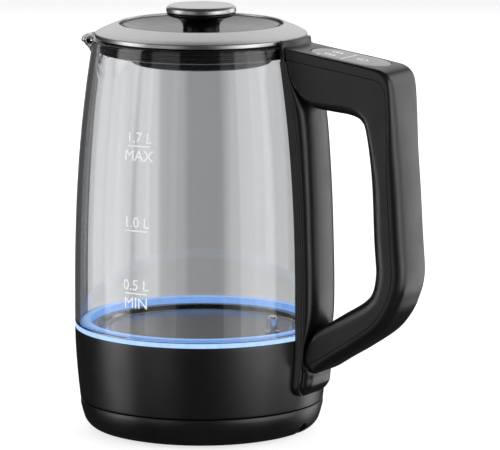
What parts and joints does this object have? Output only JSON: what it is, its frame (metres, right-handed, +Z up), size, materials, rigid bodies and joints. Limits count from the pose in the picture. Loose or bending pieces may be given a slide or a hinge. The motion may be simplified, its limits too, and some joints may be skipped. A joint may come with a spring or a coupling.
{
  "type": "electric kettle",
  "caption": "Cordless glass electric kettle with a lit ring, touch panel in the handle, lift-off steel lid and a round power base.",
  "frame": {"origin": "centre of the bounding box's footprint, on the surface the feet stand on", "axes": "+Z up, +X towards the handle, -X towards the spout, Y across"},
  "size_m": [0.2228, 0.1486, 0.2495],
  "materials": {
    "black_plastic": "fine satin moulding",
    "grey_plastic": "satin",
    "smoked_glass": "clear, smoke-grey tint",
    "brushed_steel": "fine circular brushing",
    "pressed_steel": "pressed sheet, satin",
    "screw_steel": "zinc plated",
    "aluminium": "as cast",
    "brass": "plated contact",
    "rubber": "matt silicone",
    "lit_diffuser": "translucent, lit blue-white from inside",
    "circuit_board": "solder mask",
    "panel_grey": "gloss with pale printed marks"
  },
  "bodies": {
    "power_base": {"base_shell": "black_plastic", "base_bottom_cover": "black_plastic", "base_connector_post": "grey_plastic", "base_live_contact": "brass", "base_neutral_contact": "brass", "base_foot_1": "rubber", "base_foot_2": "rubber", "base_foot_3": "rubber", "base_foot_4": "rubber", "base_screw_1": "screw_steel", "base_screw_2": "screw_steel", "base_screw_3": "screw_steel"},
    "coupler": {"kettle_coupler": "grey_plastic", "coupler_centre_pin": "brass", "coupler_contact_ring": "brass"},
    "kettle": {"lower_housing": "black_plastic", "housing_bottom_cover": "black_plastic", "bottom_cover_screw_1": "screw_steel", "bottom_cover_screw_2": "screw_steel", "bottom_cover_screw_3": "screw_steel", "power_board": "circuit_board", "heater_relay": "black_plastic", "light_ring": "lit_diffuser", "led_board": "circuit_board", "glass_seal": "rubber", "heating_plate": "pressed_steel", "heat_spreader": "aluminium", "heating_element": "pressed_steel", "thermal_cutout_1": "aluminium", "thermal_cutout_2": "aluminium", "temperature_probe": "pressed_steel", "glass_body": "smoked_glass", "handle_spine": "black_plastic", "handle_inner_shell": "black_plastic", "handle_outer_cover": "black_plastic", "rim_collar": "black_plastic", "touch_panel": "panel_grey", "display_module": "grey_plastic", "control_board": "circuit_board", "handle_cable": "rubber", "handle_screw_1": "screw_steel", "handle_screw_2": "screw_steel"},
    "lid": {"lid_body": "black_plastic", "lid_ring": "brushed_steel", "lid_dish": "grey_plastic", "lid_seal": "rubber", "lid_inner_cup": "black_plastic", "knob_stem": "black_plastic", "knob_disc": "brushed_steel", "knob_screw": "screw_steel"}
  },
  "joints": [
    {"name": "kettle_lift", "type": "slide", "parent": "power_base", "child": "coupler", "axis": [0, 0, 1], "range_m": [0, 0.05]},
    {"name": "kettle_swivel", "type": "hinge", "parent": "coupler", "child": "kettle", "pos_m": [-0.0296, 0, 0.03], "axis": [0, 0, 1], "continuous": true},
    {"name": "lid_lift", "type": "slide", "parent": "kettle", "child": "lid", "axis": [0, 0, 1], "range_m": [0, 0.05]}
  ]
}
